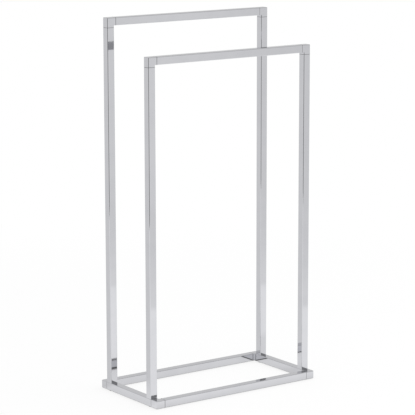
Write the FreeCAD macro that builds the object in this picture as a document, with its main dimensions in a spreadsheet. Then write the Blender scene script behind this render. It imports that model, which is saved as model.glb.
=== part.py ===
import FreeCAD, Part
import os
import re
from enum import IntEnum

import Sketcher

# Freestanding towel stand: two upright frames of square tube on an oblong base of the same tube.
# Row frame: X across the stand, front towards -Y, Z up, origin on the floor under its centre.

V = FreeCAD.Vector
X_AXIS, Y_AXIS, Z_AXIS = V(1, 0, 0), V(0, 1, 0), V(0, 0, 1)
SIDES = {"left": -1, "right": 1}
ENDS = {"front": -1, "rear": 1}
TOUCH = 0.001


class Sketched(IntEnum):
    """The sketcher's own numbers: its X axis, and the points of a line or a circle."""

    X_AXIS = -1
    START = 1
    END = 2
    CENTRE = 3


ORIGIN_POINT = (Sketched.X_AXIS, Sketched.START)

# ---------------------------------------------------------------- driving dimensions (mm)
SIZES = [
    ("rear_height", 865, "floor to the top of the rear frame"),
    ("front_height", 791, "floor to the top of the front frame"),
    ("stand_width", 450, "across both frames and the base"),
    ("base_depth", 229, "base, front to rear"),
    ("tube_size", 18, "outside of the square tube"),
    ("tube_wall", 1, "wall of the tube"),
    ("edge_radius", 1.5, "outside long edges of tube and castings, outer corner of an elbow"),
    ("seam_width", 0.6, "groove between a casting and its tube"),
    ("seam_inset", 0.6, "depth of that groove behind the tube's faces"),
    ("elbow_shoulder", 5, "frame elbow, past its inner corner"),
    ("corner_shoulder", 5, "base corner, past its inner corner"),
    ("corner_radius", 4, "outer upright corner of the base"),
    ("post_gap", 1, "seam of the base to the foot of a post"),
    ("plug_length", 28, "plug of a casting inside its tube"),
    ("plug_gap", 0.4, "tube wall to the plain face of a plug"),
    ("press_gap", 0.05, "tube wall to what is pressed in: a plug's ribs, a foot insert"),
    ("rib_width", 2.4, "grip rib of a plug"),
    ("plug_lead", 1, "chamfer at the tip of a plug or foot insert"),
    ("core_wall", 2.6, "casting round the core of a plug"),
    ("plain_core", 22, "depth of the core in a plain plug"),
    ("screw_core", 9, "depth of the core in a plug that takes a screw"),
    ("screw_diameter", 5, "post screw"),
    ("screw_length", 25, "post screw, under its head"),
    ("screw_gap", 0.25, "round the screw in its clearance holes"),
    ("thread_gap", 0.03, "round the screw in its thread"),
    ("head_diameter", 8.5, "socket head"),
    ("head_height", 5, "socket head"),
    ("socket_flats", 4, "hexagon socket across flats"),
    ("socket_depth", 2.5, "hexagon socket"),
    ("washer_diameter", 10, "washer"),
    ("washer_thickness", 1, "washer"),
    ("seat_gap", 0.6, "round the washer in its seat"),
    ("head_recess", 3.5, "underside of the base to the screw's head"),
    ("insert_margin", 5, "foot insert beyond the tip of the screw"),
    ("way_gap", 0.25, "round the washer as it passes in through the side rail"),
    ("pad_overlap", 1.75, "foot pad beyond the hole that it closes"),
    ("pad_lift", 1.5, "foot pad, floor to the underside of the base"),
]

# Rules that several pieces share: each gives one size or place from the dimensions above.
BORE = "(tube_size - 2 * tube_wall)"
NECK = "(tube_size - 2 * seam_inset)"
PLUG = f"({BORE} - 2 * plug_gap)"
PRESSED = f"({BORE} - 2 * press_gap)"
CORE = f"({PLUG} - 2 * core_wall)"
HALF_TUBE = "(tube_size / 2)"
ELBOW_LEG = "(tube_size + elbow_shoulder)"
CORNER_LEG = "(tube_size + corner_shoulder)"
BASE_TOP = "(pad_lift + tube_size)"
SIDE_X = "(stand_width / 2 - tube_size / 2)"
SIDE_RAIL = f"(base_depth - 2 * {CORNER_LEG})"
SCREW_INSET = "(post_gap + tube_size / 2)"
POST_Y = f"(base_depth / 2 - {CORNER_LEG} - {SCREW_INSET})"
SCREW_HOLE = "(screw_diameter + 2 * screw_gap)"
THREAD = "(screw_diameter + 2 * thread_gap)"
SEAT = "(washer_diameter + 2 * seat_gap)"
WAY_IN = "(washer_diameter + 2 * way_gap)"
HEAD_FACE = "(head_recess + head_height)"
SEAT_DEPTH = f"({HEAD_FACE} + washer_thickness)"
INSERT_LENGTH = f"({HEAD_FACE} + screw_length - tube_size + insert_margin)"

doc = FreeCAD.newDocument("towel_stand")
sheet = doc.addObject("Spreadsheet::Sheet", "Sizes")
for row, (alias, size, note) in enumerate(SIZES, start=1):
    sheet.set(f"A{row}", note)
    sheet.set(f"B{row}", str(size))
    sheet.setAlias(f"B{row}", alias)
doc.recompute()


# ---------------------------------------------------------------- sheet, sketches and features
def linked(rule):
    """The rule with each driving dimension written as a reference to its cell."""
    return re.sub(r"[a-z]+(_[a-z]+)+", r"Sizes.\g<0>", rule)


def value(rule):
    """What a rule comes to with the present sizes."""
    return float(sheet.evalExpression(linked(rule)))


def new_body(label):
    """An empty body whose Label names the piece."""
    body = doc.addObject("PartDesign::Body", label)
    body.Label = label
    return body


def place(piece, x, y, z, turns=()):
    """Turn a piece by (axis, degrees) steps and bind its place in the row frame to the sheet."""
    turned = FreeCAD.Rotation()
    for axis, degrees in turns:
        turned = FreeCAD.Rotation(axis, degrees).multiply(turned)
    piece.Placement = FreeCAD.Placement(V(), turned)
    for letter, rule in zip("xyz", (x, y, z)):
        piece.setExpression(f"Placement.Base.{letter}", linked(rule))


def sketch_on(body, name, role, shift=("0", "0", "0")):
    """A sketch on one of the body's own origin planes, shifted in that plane's frame."""
    sketch = body.newObject("Sketcher::SketchObject", name)
    plane = next(item for item in body.Origin.OriginFeatures if item.Role == role)
    sketch.AttachmentSupport = [(plane, "")]
    sketch.MapMode = "FlatFace"
    for letter, rule in zip("xyz", shift):
        sketch.setExpression(f"AttachmentOffset.Base.{letter}", linked(rule))
    return sketch


def bind(sketch, name, rule, kind, *parts):
    """A named dimension of a sketch, bound to the sheet."""
    constraint = Sketcher.Constraint(kind, *parts, value(rule))
    constraint.Name = name
    sketch.addConstraint(constraint)
    sketch.setExpression(f"Constraints.{name}", linked(rule))


def outline(sketch, points):
    """A closed outline of straight lines whose corners are (x rule, y rule) pairs."""
    spots = [V(value(x), value(y)) for x, y in points]
    lines = [sketch.addGeometry(Part.LineSegment(a, b), False)
             for a, b in zip(spots, spots[1:] + spots[:1])]
    for line, after in zip(lines, lines[1:] + lines[:1]):
        sketch.addConstraint(Sketcher.Constraint("Coincident", line, Sketched.END, after, Sketched.START))
    for line, (x, y) in zip(lines, points):
        bind(sketch, f"x_{line}", x, "DistanceX", *ORIGIN_POINT, line, Sketched.START)
        bind(sketch, f"y_{line}", y, "DistanceY", *ORIGIN_POINT, line, Sketched.START)


def rectangle(sketch, across, up):
    """A rectangle centred on the sketch's origin."""
    half_x, half_y = f"({across}) / 2", f"({up}) / 2"
    outline(sketch, [(f"-{half_x}", f"-{half_y}"), (half_x, f"-{half_y}"),
                     (half_x, half_y), (f"-{half_x}", half_y)])


def cross(sketch, across, width):
    """A cross of two like bars, centred on the sketch's origin."""
    far, near_by = f"({across}) / 2", f"({width}) / 2"
    outline(sketch, [
        (far, f"-{near_by}"), (far, near_by), (near_by, near_by), (near_by, far),
        (f"-{near_by}", far), (f"-{near_by}", near_by), (f"-{far}", near_by),
        (f"-{far}", f"-{near_by}"), (f"-{near_by}", f"-{near_by}"), (f"-{near_by}", f"-{far}"),
        (near_by, f"-{far}"), (near_by, f"-{near_by}")])


def circle(sketch, diameter, x="0", y="0"):
    """A circle centred on (x rule, y rule)."""
    spot = V(value(x), value(y))
    ring = sketch.addGeometry(Part.Circle(spot, Z_AXIS, value(diameter) / 2), False)
    bind(sketch, f"across_{ring}", diameter, "Diameter", ring)
    bind(sketch, f"x_{ring}", x, "DistanceX", *ORIGIN_POINT, ring, Sketched.CENTRE)
    bind(sketch, f"y_{ring}", y, "DistanceY", *ORIGIN_POINT, ring, Sketched.CENTRE)


def volume(body):
    """The body's volume so far, in cubic millimetres."""
    return 0 if body.Shape.isNull() else body.Shape.Volume


def pad(body, sketch, length, flip=False, both=False):
    """Raise a sketch by a bound length, and check that the body gained volume."""
    before = volume(body)
    feature = body.newObject("PartDesign::Pad", f"{sketch.Name}_pad")
    feature.Profile = sketch
    feature.Reversed = flip
    feature.SideType = "Symmetric" if both else "One side"
    feature.setExpression("Length", linked(length))
    doc.recompute()
    assert volume(body) > before + TOUCH, f"{sketch.Name} adds nothing"


def pocket(body, sketch, depth, flip=False, both=False):
    """Sink a sketch by a bound depth, and check that the body lost volume."""
    before = volume(body)
    feature = body.newObject("PartDesign::Pocket", f"{sketch.Name}_pocket")
    feature.Profile = sketch
    feature.Reversed = flip
    feature.SideType = "Symmetric" if both else "One side"
    feature.setExpression("Length", linked(depth))
    doc.recompute()
    assert volume(body) < before - TOUCH, f"{sketch.Name} cuts nothing"


def dress(body, kind, name, size, wanted):
    """A Fillet or Chamfer of bound size on every edge of the tip that wanted() picks."""
    tip = body.Tip
    names = [f"Edge{number}" for number, edge in enumerate(tip.Shape.Edges, start=1)
             if wanted(edge.BoundBox)]
    feature = body.newObject(f"PartDesign::{kind}", f"{body.Name}_{name}")
    feature.Base = (tip, names)
    feature.setExpression("Radius" if kind == "Fillet" else "Size", linked(size))
    doc.recompute()


def near(a, b):
    """Whether two lengths are the same."""
    return abs(a - b) < TOUCH


def reach(box):
    """How far an edge's box reaches from the Z axis, along X or Y."""
    return max(abs(box.XMin), abs(box.XMax), abs(box.YMin), abs(box.YMax))


# ---------------------------------------------------------------- square tube
def square_tube(label, length):
    """A tube along +Z from the origin, with its long edges rounded."""
    body = new_body(label)
    section = sketch_on(body, f"{label}_section", "XY_Plane")
    rectangle(section, "tube_size", "tube_size")
    rectangle(section, BORE, BORE)
    pad(body, section, length)
    middle = (value("tube_size") + value(BORE)) / 4
    dress(body, "Fillet", "outside", "edge_radius",
          lambda box: box.ZLength > TOUCH and reach(box) > middle)
    return body


ALONG_X = ((Y_AXIS, 90),)
ALONG_Y = ((X_AXIS, -90),)


def post(label, height, side, end):
    """An upright that stands on a side rail and ends under its elbow."""
    body = square_tube(label, f"{height} - {ELBOW_LEG} - {BASE_TOP}")
    place(body, f"{side} * {SIDE_X}", f"{end} * {POST_Y}", BASE_TOP)


def top_rail(label, height, end):
    """The rail that the towel hangs over, between two elbows."""
    body = square_tube(label, f"stand_width - 2 * {ELBOW_LEG}")
    place(body, f"{ELBOW_LEG} - stand_width / 2", f"{end} * {POST_Y}",
          f"{height} - {HALF_TUBE}", ALONG_X)


def base_rail(label, end):
    """The long rail at the front or rear of the base."""
    body = square_tube(label, f"stand_width - 2 * {CORNER_LEG}")
    place(body, f"{CORNER_LEG} - stand_width / 2",
          f"{end} * (base_depth / 2 - {HALF_TUBE})", f"pad_lift + {HALF_TUBE}", ALONG_X)


def side_rail(label, side):
    """The short rail under two posts: screw holes above, wider ways in for the screws below."""
    body = square_tube(label, SIDE_RAIL)
    for name, shift, flip, size in (("screw_holes", HALF_TUBE, False, SCREW_HOLE),
                                    ("ways_in", f"-{HALF_TUBE}", True, WAY_IN)):
        holes = sketch_on(body, f"{label}_{name}", "XZ_Plane", ("0", "0", shift))
        circle(holes, size, y=SCREW_INSET)
        circle(holes, size, y=f"{SIDE_RAIL} - {SCREW_INSET}")
        pocket(body, holes, "2 * tube_wall", flip)
    place(body, f"{side} * {SIDE_X}", f"{CORNER_LEG} - base_depth / 2",
          f"pad_lift + {HALF_TUBE}", ALONG_Y)


# ---------------------------------------------------------------- castings
def lead_in(body, name, axis, tip):
    """Chamfer the rim of the end that goes into a tube first, tip along the axis X, Y or Z."""
    dress(body, "Chamfer", f"{name}_lead", "plug_lead",
          lambda box: near(getattr(box, f"{axis}Min"), tip) and near(getattr(box, f"{axis}Max"), tip))


def plug(body, name, role, seat, core):
    """A ribbed and cored plug that grips inside a tube, raised from the seat of the tube's end.

    seat is how far the tube's end is from the casting's outer corner; core is the hollow's depth.
    """
    flip = role == "XZ_Plane"
    sign = "-" if flip else ""
    foot = (HALF_TUBE, "0", f"{sign}{seat}")
    neck = sketch_on(body, f"{name}_neck", role, foot)
    rectangle(neck, NECK, NECK)
    pad(body, neck, "seam_width", not flip)
    shank = sketch_on(body, f"{name}_shank", role, foot)
    rectangle(shank, PLUG, PLUG)
    pad(body, shank, "plug_length", flip)
    lead_in(body, name, "Y" if flip else "X", value(f"{seat} + plug_length"))
    ribs = sketch_on(body, f"{name}_ribs", role, foot)
    cross(ribs, PRESSED, "rib_width")
    pad(body, ribs, "plug_length - plug_lead", flip)
    tip = (HALF_TUBE, "0", f"{sign}({seat} + plug_length)")
    hollow = sketch_on(body, f"{name}_core", role, tip)
    rectangle(hollow, CORE, CORE)
    pocket(body, hollow, core, flip)


def corner_block(body, seat, radius=None):
    """The solid corner of a casting: legs along +X and +Y from its outer corner at the origin.

    seat is how far each tube's end is from that corner; the block stops a seam short of it.
    radius, where given, rounds the outer corner more than the long edges.
    """
    label = body.Name
    leg = f"({seat} - seam_width)"
    profile = sketch_on(body, f"{label}_profile", "XY_Plane")
    outline(profile, [("0", "0"), (leg, "0"), (leg, "tube_size"), ("tube_size", "tube_size"),
                      ("tube_size", leg), ("0", leg)])
    pad(body, profile, "tube_size", both=True)
    end = value(leg)

    def at_corner(box):
        """Whether an edge is the outer upright corner."""
        return near(box.XMax, 0) and near(box.YMax, 0)

    if radius:
        dress(body, "Fillet", "outer_corner", radius, at_corner)
    dress(body, "Fillet", "edges", "edge_radius", lambda box: at_corner(box) or (
        box.ZLength < TOUCH and not near(box.XMin, end) and not near(box.YMin, end)))


def elbow(label, height, side, end):
    """A frame's top corner, with a plug for the rail and one for the post."""
    body = new_body(label)
    corner_block(body, ELBOW_LEG)
    plug(body, f"{label}_rail", "YZ_Plane", ELBOW_LEG, "plain_core")
    plug(body, f"{label}_post", "XZ_Plane", ELBOW_LEG, "plain_core")
    turns = ((X_AXIS, -90), (Z_AXIS, 0 if side < 0 else 180))
    place(body, f"{side} * stand_width / 2", f"{end} * {POST_Y}", height, turns)


def base_corner(label, side, end):
    """A corner of the base; the plug in the side rail also carries the post's screw."""
    body = new_body(label)
    corner_block(body, CORNER_LEG, "corner_radius")
    side_along_y = side == end
    along = f"({CORNER_LEG} + {SCREW_INSET})"
    screw_spot = (HALF_TUBE, along) if side_along_y else (along, HALF_TUBE)
    x_core, y_core = ("plain_core", "screw_core") if side_along_y else ("screw_core", "plain_core")
    plug(body, f"{label}_x", "YZ_Plane", CORNER_LEG, x_core)
    plug(body, f"{label}_y", "XZ_Plane", CORNER_LEG, y_core)
    screw_way = sketch_on(body, f"{label}_screw_way", "XY_Plane")
    circle(screw_way, SCREW_HOLE, *screw_spot)
    pocket(body, screw_way, "tube_size", both=True)
    seat = sketch_on(body, f"{label}_seat", "XY_Plane", ("0", "0", f"-{HALF_TUBE}"))
    circle(seat, SEAT, *screw_spot)
    pocket(body, seat, SEAT_DEPTH, flip=True)
    turn = {(-1, -1): 0, (1, -1): 90, (1, 1): 180, (-1, 1): 270}[side, end]
    place(body, f"{side} * stand_width / 2", f"{end} * base_depth / 2", f"pad_lift + {HALF_TUBE}",
          ((Z_AXIS, turn),))


def foot_insert(label, side, end):
    """The threaded block in the foot of a post."""
    body = new_body(label)
    block = sketch_on(body, f"{label}_block", "XY_Plane")
    rectangle(block, PRESSED, PRESSED)
    pad(body, block, INSERT_LENGTH)
    lead_in(body, label, "Z", value(INSERT_LENGTH))
    thread = sketch_on(body, f"{label}_thread", "XY_Plane")
    circle(thread, THREAD)
    pocket(body, thread, INSERT_LENGTH, flip=True)
    place(body, f"{side} * {SIDE_X}", f"{end} * {POST_Y}", BASE_TOP)


# ---------------------------------------------------------------- fasteners and pads
def four_feet(label, master):
    """Four copies of a piece modelled under the right rear post, as one group of solids."""
    links = [master]
    for axis in (X_AXIS, Y_AXIS):
        mirror = doc.addObject("Part::Mirroring", f"{label}_{len(links)}_mirror")
        source = links[0]
        if len(links) > 1:
            source = doc.addObject("Part::Compound", f"{label}_pair")
            source.Links = links
        mirror.Source = source
        mirror.Normal = axis
        links = [source, mirror]
    group = doc.addObject("Part::Compound", label)
    group.Label = label
    group.Links = links


def post_screws():
    """Socket screws that pass up through the base into the foot inserts."""
    body = new_body("post_screw")
    head = sketch_on(body, "screw_head", "XY_Plane")
    circle(head, "head_diameter")
    pad(body, head, "head_height", flip=True)
    shank = sketch_on(body, "screw_shank", "XY_Plane")
    circle(shank, "screw_diameter")
    pad(body, shank, "screw_length")
    socket = sketch_on(body, "screw_socket", "XY_Plane", ("0", "0", "-head_height"))
    outline(socket, [(f"socket_flats / sqrt(3) * cos({60 * corner})",
                      f"socket_flats / sqrt(3) * sin({60 * corner})") for corner in range(6)])
    pocket(body, socket, "socket_depth", flip=True)
    place(body, SIDE_X, POST_Y, f"pad_lift + {HEAD_FACE}")
    four_feet("post_screws", body)


def screw_washers():
    """Washers between the screw heads and their seats."""
    body = new_body("screw_washer")
    ring = sketch_on(body, "washer_ring", "XY_Plane")
    circle(ring, "washer_diameter")
    circle(ring, SCREW_HOLE)
    pad(body, ring, "washer_thickness")
    place(body, SIDE_X, POST_Y, f"pad_lift + {HEAD_FACE}")
    four_feet("screw_washers", body)


def foot_pad(label, side, end):
    """A soft disc stuck on under the side rail, over the screw's way in."""
    body = new_body(label)
    disc = sketch_on(body, f"{label}_disc", "XY_Plane")
    circle(disc, f"{WAY_IN} + 2 * pad_overlap")
    pad(body, disc, "pad_lift")
    place(body, f"{side} * {SIDE_X}", f"{end} * {POST_Y}", "0")


# ---------------------------------------------------------------- the stand
for end_name, end in ENDS.items():
    height = f"{end_name}_height"
    top_rail(f"{end_name}_top_rail", height, end)
    base_rail(f"base_{end_name}_rail", end)
    for side_name, side in SIDES.items():
        post(f"{end_name}_post_{side_name}", height, side, end)
        elbow(f"{end_name}_elbow_{side_name}", height, side, end)
        base_corner(f"base_corner_{end_name}_{side_name}", side, end)
        foot_insert(f"foot_insert_{end_name}_{side_name}", side, end)
        foot_pad(f"foot_pad_{end_name}_{side_name}", side, end)
for side_name, side in SIDES.items():
    side_rail(f"base_side_rail_{side_name}", side)
post_screws()
screw_washers()
doc.recompute()

MASTERS = ("post_screw", "screw_washer")
bodies = [item for item in doc.Objects if item.TypeId == "PartDesign::Body"]
groups = [item for item in doc.Objects if item.Label in ("post_screws", "screw_washers")]
pieces = [body for body in bodies if body.Label not in MASTERS] + groups
for item in doc.Objects:
    assert not {"Invalid", "Error"} & set(item.State), f"{item.Label} failed"
for piece in pieces:
    solids = 4 if piece in groups else 1
    assert not piece.Shape.isNull() and piece.Shape.isValid(), f"{piece.Label} is not sound"
    assert len(piece.Shape.Solids) == solids, f"{piece.Label} is not {solids} solid(s)"

os.makedirs("parts", exist_ok=True)
for piece in pieces:
    piece.Shape.exportStep(f"parts/{piece.Label}.step")
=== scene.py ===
import logging
import math
from dataclasses import dataclass
from enum import Enum
from typing import Any, Callable, ClassVar, Iterable, Mapping, Optional, Sequence, Union

import bpy
from mathutils import Euler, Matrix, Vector


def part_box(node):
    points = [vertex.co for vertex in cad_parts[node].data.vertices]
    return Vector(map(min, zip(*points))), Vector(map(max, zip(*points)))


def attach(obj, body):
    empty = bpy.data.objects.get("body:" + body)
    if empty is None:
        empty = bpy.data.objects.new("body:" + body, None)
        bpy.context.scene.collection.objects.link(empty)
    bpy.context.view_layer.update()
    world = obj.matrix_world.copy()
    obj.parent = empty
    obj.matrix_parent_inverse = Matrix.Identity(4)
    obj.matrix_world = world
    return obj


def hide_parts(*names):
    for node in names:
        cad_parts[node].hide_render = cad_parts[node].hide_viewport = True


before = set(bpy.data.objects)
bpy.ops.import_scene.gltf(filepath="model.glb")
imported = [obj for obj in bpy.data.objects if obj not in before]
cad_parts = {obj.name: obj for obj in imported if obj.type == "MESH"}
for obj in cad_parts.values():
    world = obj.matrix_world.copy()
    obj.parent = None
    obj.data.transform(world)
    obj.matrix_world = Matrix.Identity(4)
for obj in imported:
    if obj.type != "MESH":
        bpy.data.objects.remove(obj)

LOG = logging.getLogger("towel_stand")
BODY = "root"
MM = 1e-3
MICRON = 1e-6

# A Mix node's sockets for colours; it has such a set for each kind of data.
MIX_FIRST = 6
MIX_SECOND = 7
MIX_RESULT = 2

Colour = tuple[float, float, float]
Key = Union[int, str]
Socket = bpy.types.NodeSocket

# The places where a smooth step begins and ends.
Edge = tuple[float, float]

# The places and the greys of a ramp.
Stops = Sequence[tuple[float, float]]

# A radius as a function of the angle, and a height.
Ring = tuple[Callable[[float], float], float]


class Axis(Enum):
    """The way a tube runs, as an index into a point."""

    ACROSS = 0
    DEEP = 1
    UPRIGHT = 2


class Side(Enum):
    """Left or right of the stand, seen from the front."""

    LEFT = "left"
    RIGHT = "right"


class End(Enum):
    """The lower frame's end of the stand, or the taller one's."""

    FRONT = "front"
    REAR = "rear"


def at_each_corner(kind: str) -> list[str]:
    """The names of the four nodes of a kind, left and right at both ends."""
    return [f"{kind}_{end.value}_{side.value}" for end in End for side in Side]


# ------------------------------------------------------------------ shader graphs
class Number:
    """A shader socket that carries a number; the operators add Math nodes."""

    def __init__(self, graph: "Graph", socket: Socket) -> None:
        """Keep the graph and the output socket that this number comes from."""
        self.graph = graph
        self.socket = socket

    def math(self, operation: str, *others: "Operand") -> "Number":
        """This number after a Math node's operation, with the other numbers that it takes."""
        inputs = dict(enumerate((self, *others)))
        return self.graph.number("ShaderNodeMath", {"operation": operation}, inputs)

    def __add__(self, other: "Operand") -> "Number":
        """This number plus other."""
        return self.math("ADD", other)

    __radd__ = __add__

    def __mul__(self, other: "Operand") -> "Number":
        """This number times other."""
        return self.math("MULTIPLY", other)

    __rmul__ = __mul__

    def __sub__(self, other: "Operand") -> "Number":
        """This number less other."""
        return self.math("SUBTRACT", other)

    def __rsub__(self, other: "Operand") -> "Number":
        """Other less this number."""
        return (self * -1.0) + other

    def __truediv__(self, other: "Operand") -> "Number":
        """This number over other."""
        return self.math("DIVIDE", other)

    def step(self, start: float, end: float) -> "Number":
        """A smooth step of this number, from 0 at start to 1 at end.

        Args:
            start: where the step begins; it may lie above end.
            end: where the step is complete.

        Returns:
            A number from 0 to 1.
        """
        settings = {"interpolation_type": "SMOOTHSTEP"}
        inputs = {"Value": self, "From Min": start, "From Max": end}
        return self.graph.number("ShaderNodeMapRange", settings, inputs)

    def between(self, low: "Operand", high: "Operand") -> "Number":
        """This number, from 0 to 1, stretched to run from low to high."""
        return self * (high - low) + low

    def towards(self, other: "Operand", share: "Operand") -> "Number":
        """This number at share 0, passing into other at share 1."""
        return self + (other - self) * share


Operand = Union[Number, float]
Input = Union[Number, Socket, float, Sequence[float]]
Inputs = Mapping[Key, Input]


@dataclass(frozen=True)
class Grain:
    """Soft noise: blotches per metre, and octaves of finer noise on them."""

    scale: float
    octaves: float


class Graph:
    """The node tree of one material or world."""

    def __init__(self, owner: Union[bpy.types.Material, bpy.types.World]) -> None:
        """Empty the owner's node tree and keep it.

        Args:
            owner: the material or world that the nodes are for.
        """
        owner.use_nodes = True
        self.tree = owner.node_tree
        self.tree.nodes.clear()

    def node(self, kind: str, settings: Mapping[str, Any], inputs: Inputs, output: Key = 0
             ) -> Optional[Socket]:
        """Add a node.

        Args:
            kind: the node's type name.
            settings: properties set first; "stops" fills a ramp with (place, colour) pairs.
            inputs: a value or a link for each named or numbered input socket.
            output: which output socket to give back.

        Returns:
            The output socket, or None where the node has no outputs.
        """
        made = self.tree.nodes.new(kind)
        for name, setting in settings.items():
            if name == "stops":
                self._fill(made.color_ramp, setting)
            else:
                setattr(made, name, setting)
        for name, given in inputs.items():
            source = given.socket if isinstance(given, Number) else given
            if isinstance(source, Socket):
                self.tree.links.new(source, made.inputs[name])
            else:
                made.inputs[name].default_value = source
        return made.outputs[output] if made.outputs else None

    @staticmethod
    def _fill(ramp: bpy.types.ColorRamp, stops: Sequence[tuple[float, Colour]]) -> None:
        """Give a ramp its stops.

        Args:
            ramp: a new node's ramp, which has two stops.
            stops: (place, colour) pairs in order, two or more.
        """
        for _ in stops[2:]:
            ramp.elements.new(1.0)
        for element, (place, colour) in zip(ramp.elements, stops):
            element.position = place
            element.color = (*colour, 1.0)

    def number(self, kind: str, settings: Mapping[str, Any], inputs: Inputs, output: Key = 0
               ) -> Number:
        """Add a node, as node() does, and give back its output as a Number."""
        return Number(self, self.node(kind, settings, inputs, output))

    def place(self, scale: Sequence[float] = (1.0, 1.0, 1.0)) -> Socket:
        """The point on the surface in the row frame, in metres, scaled along each axis."""
        point = self.node("ShaderNodeTexCoord", {}, {}, "Object")
        return self.node("ShaderNodeVectorMath", {"operation": "MULTIPLY"}, {0: point, 1: scale})

    def noise(self, grain: Grain, stretch: Sequence[float] = (1.0, 1.0, 1.0)) -> Number:
        """Soft noise from 0 to 1, with its blotches denser along each axis by its stretch."""
        inputs = {"Vector": self.place(stretch), "Scale": grain.scale, "Detail": grain.octaves}
        return self.number("ShaderNodeTexNoise", {}, inputs, "Fac")

    def parts(self, vector: Socket) -> list[Number]:
        """A vector's parts along X, Y and Z."""
        split = self.node("ShaderNodeSeparateXYZ", {}, {0: vector}).node
        return [Number(self, part) for part in split.outputs]

    def greys(self, share: Number, stops: Stops) -> Number:
        """A grey that follows a ramp of (share, grey) stops."""
        colours = [(place, (grey,) * 3) for place, grey in stops]
        return self.number("ShaderNodeValToRGB", {"stops": colours}, {"Fac": share})

    def ray(self, kind: str) -> Number:
        """1 for light's rays of a kind, such as "Is Camera Ray", and 0 for the others."""
        return self.number("ShaderNodeLightPath", {}, {}, kind)

    def mixed(self, share: Operand, first: Input, second: Input) -> Socket:
        """A colour from first, at share 0, to second, at share 1."""
        inputs = {"Factor": share, MIX_FIRST: first, MIX_SECOND: second}
        return self.node("ShaderNodeMix", {"data_type": "RGBA"}, inputs, MIX_RESULT)

    def bump(self, height: Number, depth: float, under: Optional[Socket] = None) -> Socket:
        """The surface normal tilted by a height map.

        Args:
            height: the map, about 0 to 1.
            depth: metres of relief from 0 to 1.
            under: a normal that another map has tilted already.

        Returns:
            The new normal.
        """
        inputs: dict[Key, Input] = {"Strength": 1.0, "Distance": depth, "Height": height}
        if under is not None:
            inputs["Normal"] = under
        return self.node("ShaderNodeBump", {}, inputs)

    def surface(self, inputs: Inputs) -> None:
        """Dress the surface with a Principled shader that has these inputs."""
        shader = self.node("ShaderNodeBsdfPrincipled", {}, inputs)
        self.node("ShaderNodeOutputMaterial", {}, {"Surface": shader})


def rgba(colour: Colour) -> tuple[float, float, float, float]:
    """The colour with full cover."""
    return (*colour, 1.0)


# ------------------------------------------------------------------ finishes
@dataclass(frozen=True)
class Seam:
    """Where the surface of a piece passes into a seam.

    On a level axis the place is the distance from the stand's middle, on both sides of it, and
    upright it is the height. The seam lies beyond the place if it is outward, or else short of it.
    """

    axis: Axis
    place: float
    outward: bool


@dataclass(frozen=True)
class Finish:
    """What a piece is finished in, as a node material."""

    name: str

    def inputs(self, graph: Graph) -> Inputs:
        """What this finish feeds to its Principled shader, from nodes in the graph."""
        raise NotImplementedError

    def material(self) -> bpy.types.Material:
        """Make the node material.

        Returns:
            The material, under the finish's name.
        """
        made = bpy.data.materials.new(self.name)
        graph = Graph(made)
        graph.surface(self.inputs(graph))
        return made


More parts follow.
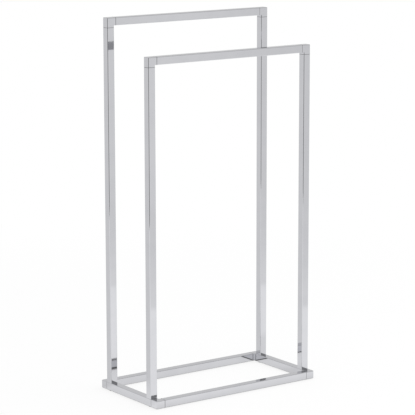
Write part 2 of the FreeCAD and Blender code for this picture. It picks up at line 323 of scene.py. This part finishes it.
@dataclass(frozen=True)
class Chrome(Finish):
    """Bright chrome plate over a faint ripple, with dark polishing residue in the seams and painted
    shade there as well.

    On the left of the stand the painted shade spreads a little way out of the rails' seams.
    """

    drawn_stretch: ClassVar[float] = 0.06

    seams: Sequence[Seam]
    clean: Colour = (0.700, 0.703, 0.730)
    hazed: Colour = (0.672, 0.676, 0.705)
    # The seams' near-black residue with painted shade: its colour, roughness and edge.
    seam_residue_and_shade: Colour = (0.020, 0.020, 0.022)
    seam_residue_and_shade_roughness: float = 0.8
    seam_residue_and_shade_edge: float = 0.05 * MM
    # Painted shade: on the left the seams' darkness spreads further out.
    left_painted_seam_shade: float = 0.15 * MM
    sheen: Edge = (0.025, 0.075)
    haze: Grain = Grain(28.0, 4.0)
    haze_edge: Edge = (0.35, 0.7)
    haze_in_tint: float = 0.7
    haze_in_sheen: float = 0.6
    wipe: Grain = Grain(900.0, 3.0)
    ripple: Grain = Grain(55.0, 1.0)
    ripple_stretch: tuple[float, float, float] = (1.0, 1.0, 1.0)
    ripple_depth: float = 20 * MICRON
    pits: Grain = Grain(2600.0, 2.0)
    pit_depth: float = 0.4 * MICRON

    @classmethod
    def drawn(cls, name: str, axis: Axis, seams: Sequence[Seam]) -> "Chrome":
        """Chrome on drawn tube, with a ripple drawn out along its axis, and seams at its ends."""
        stretch = tuple(cls.drawn_stretch if way is axis else 1.0 for way in Axis)
        return cls(name, seams, ripple_stretch=stretch)

    @classmethod
    def cast(cls, name: str, seams: Sequence[Seam]) -> "Chrome":
        """Chrome on a casting, duller and more pitted than on tube, with seams at its necks."""
        return cls(name, seams, sheen=(0.035, 0.095), ripple_stretch=(1.8, 1.8, 1.8),
                   ripple_depth=22 * MICRON, pit_depth=0.7 * MICRON)

    def in_seam(self, graph: Graph) -> Number:
        """Where the residue and the painted shade in the seams lie.

        Args:
            graph: the material's nodes.

        Returns:
            1 in a seam, and 0 elsewhere.
        """
        point = graph.parts(graph.place())
        on_left = point[Axis.ACROSS.value].math("LESS_THAN", 0.0)
        masks = []
        for seam in self.seams:
            way = 1.0 if seam.outward else -1.0
            along = point[seam.axis.value]
            if seam.axis is not Axis.UPRIGHT:
                along = along.math("ABSOLUTE")
            if seam.axis is Axis.ACROSS:
                along = along + on_left * (way * self.left_painted_seam_shade)
            masks.append(along.step(seam.place - way * self.seam_residue_and_shade_edge, seam.place))
        share = masks[0]
        for mask in masks[1:]:
            share = share.math("MAXIMUM", mask)
        return share

    def inputs(self, graph: Graph) -> Inputs:
        """Haze and wipe marks in tint and sheen, ripple and pits in relief, and seam residue with
        painted shade.

        Args:
            graph: the material's nodes.

        Returns:
            The shader's inputs.
        """
        haze = graph.noise(self.haze).step(*self.haze_edge)
        wipe = graph.noise(self.wipe, self.ripple_stretch)
        rippled = graph.bump(graph.noise(self.ripple, self.ripple_stretch), self.ripple_depth)
        tint = wipe.towards(haze, self.haze_in_tint)
        polished = wipe.towards(haze, self.haze_in_sheen).between(*self.sheen)
        # Residue and painted shade in the seams: near black, rough and not metallic.
        seam = self.in_seam(graph)
        plate = graph.mixed(tint, rgba(self.clean), rgba(self.hazed))
        return {
            "Base Color": graph.mixed(seam, plate, rgba(self.seam_residue_and_shade)),
            "Metallic": 1.0 - seam,
            "Roughness": polished.towards(self.seam_residue_and_shade_roughness, seam),
            "Normal": graph.bump(graph.noise(self.pits), self.pit_depth, rippled),
        }


@dataclass(frozen=True)
class TappedSteel(Finish):
    """Plain steel block, sawn and tapped, with a thin oily film."""

    name: str = "tapped_steel"
    bright: Colour = (0.50, 0.505, 0.515)
    dull: Colour = (0.36, 0.355, 0.35)
    film: Grain = Grain(160.0, 5.0)
    film_edge: Edge = (0.3, 0.75)
    sheen: Edge = (0.32, 0.52)
    saw_marks: Grain = Grain(420.0, 3.0)
    saw_stretch: tuple[float, float, float] = (1.0, 1.0, 22.0)
    saw_depth: float = 8 * MICRON

    def inputs(self, graph: Graph) -> Inputs:
        """The film in colour and sheen, and the saw's marks in relief.

        Args:
            graph: the material's nodes.

        Returns:
            The shader's inputs.
        """
        film = graph.noise(self.film).step(*self.film_edge)
        return {
            "Base Color": graph.mixed(film, rgba(self.bright), rgba(self.dull)),
            "Metallic": 1.0,
            "Roughness": film.between(*self.sheen),
            "Normal": graph.bump(graph.noise(self.saw_marks, self.saw_stretch), self.saw_depth),
        }


@dataclass(frozen=True)
class ZincPlate(Finish):
    """Bright zinc plate on small turned and stamped steel."""

    name: str = "zinc_plate"
    bright: Colour = (0.63, 0.645, 0.665)
    warm: Colour = (0.60, 0.585, 0.545)
    tarnish: Grain = Grain(230.0, 4.0)
    tarnish_edge: Edge = (0.42, 0.78)
    tarnish_in_sheen: float = 0.7
    sheen: Edge = (0.20, 0.38)
    crystals: Grain = Grain(3200.0, 2.0)
    crystal_depth: float = 2 * MICRON

    def inputs(self, graph: Graph) -> Inputs:
        """Tarnish in colour, and fine crystals in sheen and relief.

        Args:
            graph: the material's nodes.

        Returns:
            The shader's inputs.
        """
        tarnish = graph.noise(self.tarnish).step(*self.tarnish_edge)
        crystals = graph.noise(self.crystals)
        return {
            "Base Color": graph.mixed(tarnish, rgba(self.bright), rgba(self.warm)),
            "Metallic": 1.0,
            "Roughness": crystals.towards(tarnish, self.tarnish_in_sheen).between(*self.sheen),
            "Normal": graph.bump(crystals, self.crystal_depth),
        }


@dataclass(frozen=True)
class PadRubber(Finish):
    """Milky soft rubber with a fine moulded grain, a little yellowed in patches."""

    name: str = "pad_rubber"
    milky: Colour = (0.80, 0.80, 0.785)
    aged: Colour = (0.71, 0.70, 0.66)
    bloom: Grain = Grain(320.0, 5.0)
    bloom_edge: Edge = (0.48, 0.8)
    bloom_in_sheen: float = 0.6
    sheen: Edge = (0.45, 0.70)
    mould: Grain = Grain(5200.0, 2.0)
    mould_depth: float = 12 * MICRON

    def inputs(self, graph: Graph) -> Inputs:
        """Yellowing in colour, and the mould's grain in sheen and relief.

        Args:
            graph: the material's nodes.

        Returns:
            The shader's inputs.
        """
        bloom = graph.noise(self.bloom).step(*self.bloom_edge)
        mould = graph.noise(self.mould)
        return {
            "Base Color": graph.mixed(bloom, rgba(self.milky), rgba(self.aged)),
            "Roughness": mould.towards(bloom, self.bloom_in_sheen).between(*self.sheen),
            "Normal": graph.bump(mould, self.mould_depth),
        }


# ------------------------------------------------------------------ pieces
def dress(finish: bpy.types.Material, *nodes: str) -> None:
    """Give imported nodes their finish.

    Args:
        finish: the material for their whole surface.
        nodes: the nodes' names.
    """
    for node in nodes:
        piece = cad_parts[node]
        if not piece.data.materials:
            piece.data.materials.append(finish)
        for slot in piece.material_slots:
            slot.material = finish
        LOG.info("dressed %s in %s", node, finish.name)


def turned(name: str, rings: Sequence[Ring], centres: Iterable[Vector], segments: int
           ) -> bpy.types.Object:
    """A closed piece turned about the upright axis, repeated at each centre.

    Args:
        name: the piece's name.
        rings: from the middle of its underside round to the middle of its top. The first and the
            last are points on the axis.
        centres: where each copy's axis meets height 0.
        segments: corners of a ring.

    Returns:
        The piece, smooth-shaded, with every copy in its one mesh.
    """
    angles = [math.tau * corner / segments for corner in range(segments)]
    points: list[Vector] = []
    faces: list[tuple[int, ...]] = []
    for centre in centres:
        first = len(points)
        points.append(centre + Vector((0.0, 0.0, rings[0][1])))
        for radius, height in rings[1:-1]:
            points.extend(centre + Vector((radius(a) * math.cos(a), radius(a) * math.sin(a), height))
                          for a in angles)
        last = len(points)
        points.append(centre + Vector((0.0, 0.0, rings[-1][1])))
        for corner in range(segments):
            after = (corner + 1) % segments
            row = first + 1
            faces.append((first, row + after, row + corner))
            for _ in rings[2:-1]:
                faces.append((row + corner, row + after, row + segments + after,
                              row + segments + corner))
                row += segments
            faces.append((row + corner, row + after, last))
    mesh = bpy.data.meshes.new(name)
    mesh.from_pydata([tuple(point) for point in points], [], faces)
    mesh.validate()
    for face in mesh.polygons:
        face.use_smooth = True
    piece = bpy.data.objects.new(name, mesh)
    bpy.context.scene.collection.objects.link(piece)
    return piece


def middle(node: str, height: float) -> Vector:
    """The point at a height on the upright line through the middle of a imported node."""
    low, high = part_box(node)
    return Vector(((low.x + high.x) / 2, (low.y + high.y) / 2, height))


def round_ring(radius: float, height: float) -> Ring:
    """A plain round ring of that radius and height."""
    return (lambda angle: radius, height)


@dataclass
class UprightFrame:
    """One upright frame: two posts, the rail over them and the elbows between."""

    end: End
    seam_width: float = 0.6 * MM

    def build(self) -> None:
        """Chrome the tubes along their length, and the cast elbows."""
        end = self.end.value
        rail_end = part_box(f"{end}_top_rail")[1].x
        post_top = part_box(f"{end}_post_{Side.LEFT.value}")[1].z
        rail = Chrome.drawn(f"chrome_{end}_rail", Axis.ACROSS, [Seam(Axis.ACROSS, rail_end, True)])
        post = Chrome.drawn(f"chrome_{end}_post", Axis.UPRIGHT, [Seam(Axis.UPRIGHT, post_top, True)])
        elbow = Chrome.cast(f"chrome_{end}_elbow", [
            Seam(Axis.ACROSS, rail_end + self.seam_width, False),
            Seam(Axis.UPRIGHT, post_top + self.seam_width, False)])
        dress(rail.material(), f"{end}_top_rail")
        dress(post.material(), *(f"{end}_post_{side.value}" for side in Side))
        dress(elbow.material(), *(f"{end}_elbow_{side.value}" for side in Side))


@dataclass
class Base:
    """The oblong base: two long rails, two short ones and four cast corners."""

    seam_width: float = 0.6 * MM

    def build(self) -> None:
        """Chrome the rails along their length, and the cast corners."""
        long_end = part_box(f"base_{End.FRONT.value}_rail")[1].x
        short_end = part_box(f"base_side_rail_{Side.LEFT.value}")[1].y
        long = Chrome.drawn("chrome_base_rail", Axis.ACROSS, [Seam(Axis.ACROSS, long_end, True)])
        short = Chrome.drawn("chrome_side_rail", Axis.DEEP, [Seam(Axis.DEEP, short_end, True)])
        corner = Chrome.cast("chrome_base_corner", [
            Seam(Axis.ACROSS, long_end + self.seam_width, False),
            Seam(Axis.DEEP, short_end + self.seam_width, False)])
        dress(long.material(), *(f"base_{end.value}_rail" for end in End))
        dress(short.material(), *(f"base_side_rail_{side.value}" for side in Side))
        dress(corner.material(), *at_each_corner("base_corner"))


@dataclass
class PostFixings:
    """What holds the posts down: threaded inserts, socket screws and washers."""

    head_height: float = 5.0 * MM
    shank_radius: float = 2.5 * MM
    pitch: float = 0.8 * MM
    thread_depth: float = 0.43 * MM
    thread_start: float = 0.6 * MM
    run_in_slope: float = 0.5
    flank_slope: float = 2.4
    neck_length: float = 0.3 * MM
    neck_fillet: float = 0.2 * MM
    tip_length: float = 0.8 * MM
    socket_flats: float = 4.0 * MM
    socket_depth: float = 2.5 * MM
    socket_cone: float = 0.6 * MM
    rim_chamfer: float = 0.5 * MM
    seat_chamfer: float = 0.3 * MM
    knurls: int = 24
    knurl_depth: float = 0.10 * MM
    segments: int = 72
    steps_per_pitch: int = 5
    insert: str = "foot_insert"

    def hexagon(self, angle: float) -> float:
        """How far the socket's wall is from the axis at an angle."""
        sixth = math.tau / 6
        return self.socket_flats / 2 / math.cos(angle % sixth - sixth / 2)

    def knurled(self, radius: float) -> Callable[[float], float]:
        """A radius with fine upright knurls cut into it."""
        return lambda angle: radius - self.knurl_depth * (0.5 + 0.5 * math.cos(self.knurls * angle))

    def threaded(self, height: float, crest: float) -> Callable[[float], float]:
        """The thread's radius round the screw at a height.

        Args:
            height: distance up the shank.
            crest: the radius of the thread's crests there.

        Returns:
            The radius as a function of the angle.
        """
        def radius(angle: float) -> float:
            """The radius at an angle."""
            turn = (height / self.pitch - angle / math.tau) % 1.0
            return crest - self.thread_depth * min(abs(turn - 0.5) * self.flank_slope, 1.0)
        return radius

    def rings(self, shank_length: float, head_radius: float) -> list[Ring]:
        """The screw's outline, from the floor of its socket up to its tip.

        Args:
            shank_length: from under the head to the tip.
            head_radius: outside of the head.

        Returns:
            Rings whose heights start at 0 under the socket's open end.
        """
        head, rim, seat = self.head_height, self.rim_chamfer, self.seat_chamfer
        root = self.shank_radius - self.thread_depth
        rings: list[Ring] = [
            round_ring(0.0, self.socket_depth + self.socket_cone),
            (self.hexagon, self.socket_depth),
            (self.hexagon, 0.0),
            round_ring(head_radius - rim, 0.0),
            (self.knurled(head_radius), rim),
            (self.knurled(head_radius), head - seat),
            round_ring(head_radius - seat, head),
            round_ring(self.shank_radius + self.neck_fillet, head),
            round_ring(root, head + self.neck_length),
        ]
        steps = int((shank_length - self.thread_start) / self.pitch * self.steps_per_pitch)
        for step in range(steps + 1):
            height = self.thread_start + step * self.pitch / self.steps_per_pitch
            crest = min(self.shank_radius, root + height * self.run_in_slope,
                        self.shank_radius - self.tip_length + shank_length - height)
            rings.append((self.threaded(height, crest), head + height))
        rings.append(round_ring(0.0, head + shank_length))
        return rings

    def build(self) -> None:
        """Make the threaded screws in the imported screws' place, and dress the rest."""
        inserts = at_each_corner(self.insert)
        low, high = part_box("post_screws")
        centres = [middle(node, low.z) for node in inserts]
        head_radius = high.x - max(centre.x for centre in centres)
        rings = self.rings(high.z - low.z - self.head_height, head_radius)
        screws = turned("post_screws_threaded", rings, centres, self.segments)
        zinc = ZincPlate().material()
        screws.data.materials.append(zinc)
        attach(screws, BODY)
        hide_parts("post_screws")
        LOG.info("built %s", screws.name)
        dress(zinc, "screw_washers")
        dress(TappedSteel().material(), *inserts)


@dataclass
class FootPads:
    """Four moulded pads: round-edged discs with rings in their soles."""

    edge: float = 0.5 * MM
    edge_steps: int = 6
    groove_depth: float = 0.35 * MM
    grooves: int = 3
    sole_steps: int = 36
    dimple_radius: float = 2.2 * MM
    top_chamfer: float = 0.1 * MM
    segments: int = 72

    def rings(self, radius: float, height: float) -> list[Ring]:
        """A pad's outline, from the middle of its sole round to the middle of its top.

        Args:
            radius: outside of the pad.
            height: from the floor to its top.

        Returns:
            Rings whose heights start at 0 on the floor.
        """
        flat = radius - self.edge
        rings = [round_ring(0.0, self.groove_depth)]
        for step in range(1, self.sole_steps):
            reach = flat * step / self.sole_steps
            share = (reach - self.dimple_radius) / (flat - self.dimple_radius)
            wave = math.cos(math.tau * self.grooves * share)
            hollow = 1.0 if share < 0 else max(0.0, wave)
            rings.append(round_ring(reach, self.groove_depth * hollow))
        for step in range(self.edge_steps + 1):
            angle = math.pi / 2 * step / self.edge_steps
            rings.append(round_ring(flat + self.edge * math.sin(angle),
                                    self.edge * (1.0 - math.cos(angle))))
        rings += [round_ring(radius, height - self.top_chamfer),
                  round_ring(radius - self.top_chamfer, height), round_ring(0.0, height)]
        return rings

    def build(self) -> None:
        """Make a moulded pad in each packed pad's place."""
        rubber = PadRubber().material()
        for node in at_each_corner("foot_pad"):
            low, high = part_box(node)
            rings = self.rings((high.x - low.x) / 2, high.z)
            pad = turned(f"{node}_moulded", rings, [middle(node, 0.0)], self.segments)
            pad.data.materials.append(rubber)
            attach(pad, BODY)
            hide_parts(node)
            LOG.info("built %s", pad.name)


# ------------------------------------------------------------------ studio
@dataclass
class Room:
    """What surrounds the stand: white to the camera, and to the metal pale walls and a doorway.

    A height here is the upward part of a direction, 0 for level and 1 for straight up. The
    stops' places run from 0, behind the camera, to 1, straight beyond the stand. The bearing is
    the way the camera looks, clockwise from straight to the rear.
    """

    name: str = "studio"
    bearing: float = math.radians(35.6)
    least_level: float = 1e-4
    doorway: Stops = ((0.0, 0.06), (0.06, 0.08), (0.16, 0.78), (0.31, 0.80), (0.33, 0.85),
                      (0.355, 0.78), (0.68, 0.78), (1.0, 0.48))
    high_walls: Stops = ((0.0, 0.34), (0.34, 0.29), (0.5, 0.52), (0.66, 0.70), (0.88, 0.68))
    low_walls: float = 0.78
    ceiling: float = 0.68
    sill: Edge = (-0.20, -0.23)
    lintel: Edge = (-0.02, 0.12)
    cornice: Edge = (0.26, 0.40)

    def tone(self, graph: Graph) -> Number:
        """How bright the room is in the metal.

        Args:
            graph: the world's nodes.

        Returns:
            The tone in each direction, from 0 to 1.
        """
        x, y, z = graph.parts(graph.node("ShaderNodeTexCoord", {}, {}, "Generated"))
        level = (1.0 - z * z).math("MAXIMUM", self.least_level).math("SQRT")
        facing = (x * math.sin(self.bearing) + y * math.cos(self.bearing)) / level
        share = facing * 0.5 + 0.5
        low = graph.greys(share, self.doorway).towards(self.low_walls, z.step(*self.sill))
        walls = low.towards(graph.greys(share, self.high_walls), z.step(*self.lintel))
        return walls.towards(self.ceiling, z.step(*self.cornice))

    def build(self) -> None:
        """Make it the scene's world."""
        world = bpy.data.worlds.new(self.name)
        bpy.context.scene.world = world
        graph = Graph(world)
        tone = self.tone(graph).towards(1.0, graph.ray("Is Camera Ray"))
        light = graph.node("ShaderNodeBackground", {}, {"Color": tone, "Strength": 1.0})
        graph.node("ShaderNodeOutputWorld", {}, {"Surface": light})


@dataclass
class Paper:
    """The floor: a round white sheet that keeps the stand's shadow.

    The camera sees it pass into pure white towards its rim. The metal shows it in tones of its
    own: a white board in front, pale paper round it whose painted light dims further off,
    greyer paper behind the stand and between its rails, and painted shadow under and beside them.
    """

    name: str = "studio_floor"
    radius: float = 2.3
    corners: int = 128
    sheet_colour: Colour = (0.92, 0.92, 0.92)
    glow: float = 0.80
    # Painted light on the paper in the metal: dimmer further from the stand.
    near_tone: float = 0.89
    far_tone: float = 0.80
    fading: Edge = (0.7, 2.0)
    board_near: Edge = (-0.10, -0.20)
    board_far: Edge = (-1.11, -1.04)
    board_slant: float = 0.64
    # Painted light on the paper left of the stand: dimmer further to the left and to the rear.
    left_near_tone: float = 0.90
    left_far_tone: float = 0.78
    left_fading: Edge = (60 * MM, 160 * MM)
    left_rear: Edge = (0.10, 0.125)
    left_front: Edge = (-0.05, -0.09)
    rear_tone: float = 0.79
    inner_tone: float = 0.80
    inner_rear: Edge = (0.03, -0.03)
    inner_left: Edge = (-0.115, -0.09)
    left_blur: float = 4 * MM
    inner_blur: float = 10 * MM
    rear_blur: float = 20 * MM
    # Where and how deep the base's painted shadow lies on the floor's glow.
    rail_edge: Edge = (3 * MM, -2 * MM)
    contact_reach: float = 40 * MM
    contact_shade: float = 0.05
    crevice_reach: float = 16 * MM
    crevice_edge: Edge = (-4 * MM, 2 * MM)
    under_shade: float = 0.9
    pad_edge: float = 0.6 * MM

    def far_off(self, x: Number, y: Number) -> Number:
        """0 about the stand, passing into 1 towards the sheet's rim."""
        return (x * x + y * y).math("SQRT").step(*self.fading)

    def open_tone(self, x: Number, y: Number, base: Vector) -> Number:
        """How bright the floor is in the metal where nothing stands near, painted dimmer further
        off.

        Args:
            x: across the floor, to the right.
            y: along it, from front to rear.
            base: the rear right corner of the stand's base.

        Returns:
            The tone, from 0 to 1.
        """
        aside = x * -1.0 - base.x
        left = aside.step(0.0, self.left_blur)
        away = aside.step(*self.left_fading).math("MAXIMUM", y.step(*self.left_rear))
        left_tone = away.between(self.left_near_tone, self.left_far_tone)
        left_tone = left_tone.towards(1.0, y.step(*self.left_front))
        beside = left * y.step(-base.y - self.inner_blur, -base.y)
        front = y.step(base.y, base.y - self.rear_blur) * (1.0 - beside)
        sheet = self.far_off(x, y).between(self.near_tone, self.far_tone)
        board = y.step(*self.board_near) * (y - x * self.board_slant).step(*self.board_far)
        inner = (y.step(*self.inner_rear) * y.step(-base.y, -base.y + self.inner_blur)
                 * x.step(*self.inner_left) * x.step(base.x, base.x - self.inner_blur))
        sheet = sheet.towards(1.0, board).towards(self.inner_tone, inner)
        return left.between(self.rear_tone, left_tone).towards(sheet, front)

    def painted_light_left(self, x: Number, y: Number, base: Vector, rail: float) -> Number:
        """How much light the base's painted shadow leaves the floor under its rails and beside them.

        Args:
            x: across the floor, to the right.
            y: along it, from front to rear.
            base: the rear right corner of the stand's base.
            rail: the width of its rails.

        Returns:
            The share of painted light, from 0 to 1.
        """
        # Painted shadow: dark under the rails and inside the front rail, faint beside them.
        outside = (x.math("ABSOLUTE") - base.x).math("MAXIMUM", y.math("ABSOLUTE") - base.y)
        inside = outside * -1.0 - rail
        under = outside.step(*self.rail_edge) * inside.step(*self.rail_edge)
        beside = outside.math("MAXIMUM", inside).step(self.contact_reach, 0.0)
        inner_face = rail - base.y
        crevice = (y.step(inner_face + self.crevice_reach, inner_face)
                   * y.step(-base.y, inner_face) * inside.step(*self.crevice_edge))
        dark = under.math("MAXIMUM", crevice) * self.under_shade
        return (1.0 - beside * self.contact_shade) * (1.0 - dark)

    def under_pads(self, x: Number, y: Number, pad: tuple[Vector, Vector]) -> Number:
        """1 where a pad covers the floor, which lets light reach the pads' soles.

        Args:
            x: across the floor, to the right.
            y: along it, from front to rear.
            pad: the lowest and highest corner of the rear right pad.

        Returns:
            1 under any of the four pads, and 0 elsewhere.
        """
        low, high = pad
        off_x = x.math("ABSOLUTE") - (low.x + high.x) / 2
        off_y = y.math("ABSOLUTE") - (low.y + high.y) / 2
        radius = (high.x - low.x) / 2 - self.pad_edge
        return (off_x * off_x + off_y * off_y).math("LESS_THAN", radius * radius)

    def material(self) -> bpy.types.Material:
        """Make the sheet's material.

        Returns:
            The material, which is clear from below and under the pads.
        """
        made = bpy.data.materials.new(self.name)
        graph = Graph(made)
        x, y, _ = graph.parts(graph.place())
        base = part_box("base_corner_rear_right")[1]
        front, rear = (face.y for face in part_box("base_rear_rail"))
        # The floor's glow in the metal carries the base's painted shadow.
        tone = self.open_tone(x, y, base) * self.painted_light_left(x, y, base, rear - front)
        seen = graph.ray("Is Camera Ray")
        shown = tone.towards(1.0, seen)
        glowing = graph.node("ShaderNodeEmission", {}, {"Color": shown, "Strength": 1.0})
        lit = graph.node("ShaderNodeBsdfDiffuse", {}, {"Color": rgba(self.sheet_colour)})
        glow = self.far_off(x, y).between(self.glow, 1.0)
        share = (seen * glow).math("MAXIMUM", graph.ray("Is Glossy Ray"))
        sheet = graph.node("ShaderNodeMixShader", {}, {0: share, 1: lit, 2: glowing})
        clear = graph.node("ShaderNodeBsdfTransparent", {}, {})
        below = graph.number("ShaderNodeNewGeometry", {}, {}, "Backfacing")
        gone = below.math("MAXIMUM", self.under_pads(x, y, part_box("foot_pad_rear_right")))
        surface = graph.node("ShaderNodeMixShader", {}, {0: gone, 1: sheet, 2: clear})
        graph.node("ShaderNodeOutputMaterial", {}, {"Surface": surface})
        return made

    def build(self) -> None:
        """Lay the sheet at the height on which the stand's pads rest."""
        mesh = bpy.data.meshes.new(self.name)
        angles = [math.tau * corner / self.corners for corner in range(self.corners)]
        rim = [(self.radius * math.cos(a), self.radius * math.sin(a), 0.0) for a in angles]
        mesh.from_pydata(rim, [], [tuple(range(self.corners))])
        mesh.materials.append(self.material())
        sheet = bpy.data.objects.new(self.name, mesh)
        bpy.context.scene.collection.objects.link(sheet)


@dataclass
class Softbox:
    """One large soft lamp above the stand, which the metal doesn't show."""

    name: str = "overhead_softbox"
    size: float = 5.0
    place: tuple[float, float, float] = (0.4, -0.5, 3.0)
    aim: tuple[float, float, float] = (0.0, 0.0, 0.2)
    power: float = 76.0

    def build(self) -> None:
        """Hang it."""
        light = bpy.data.lights.new(self.name, "AREA")
        light.shape = "SQUARE"
        light.size = self.size
        light.energy = self.power
        lamp = bpy.data.objects.new(self.name, light)
        lamp.location = self.place
        way = Vector(self.aim) - Vector(self.place)
        lamp.rotation_euler = way.to_track_quat("-Z", "Y").to_euler()
        lamp.visible_glossy = False
        bpy.context.scene.collection.objects.link(lamp)


@dataclass
class PhotoCamera:
    """The camera of the product picture: a long lens, front left, a little above the stand."""

    name: str = "photo_camera"
    place: tuple[float, float, float] = (-2.7192, -3.7936, 1.3005)
    bearing: float = math.radians(-35.6305)
    roll: float = math.radians(0.1014)
    tilt: float = math.radians(79.3128)
    lens: float = 178.36
    sensor: float = 36.0

    def build(self) -> None:
        """Make it the scene's camera."""
        data = bpy.data.cameras.new(self.name)
        data.lens = self.lens
        data.sensor_width = self.sensor
        camera = bpy.data.objects.new(self.name, data)
        camera.location = self.place
        camera.rotation_euler = Euler((self.tilt, self.roll, self.bearing))
        bpy.context.scene.collection.objects.link(camera)
        bpy.context.scene.camera = camera
        LOG.info("placed the camera")


def corners(box: tuple[Vector, Vector]) -> list[list[float]]:
    """A box's two corners as plain lists."""
    return [list(corner) for corner in box]


def main() -> None:
    """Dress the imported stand, add its moulded and threaded pieces, and light it."""
    logging.basicConfig(level=logging.INFO, format="%(name)s: %(message)s")
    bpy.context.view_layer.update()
    PhotoCamera().build()
    for end in End:
        UprightFrame(end).build()
    Base().build()
    PostFixings().build()
    FootPads().build()
    bpy.context.scene.view_settings.view_transform = "Standard"
    for surroundings in (Room(), Paper(), Softbox()):
        surroundings.build()
    LOG.info("built the studio")


if __name__ == "__main__":
    main()
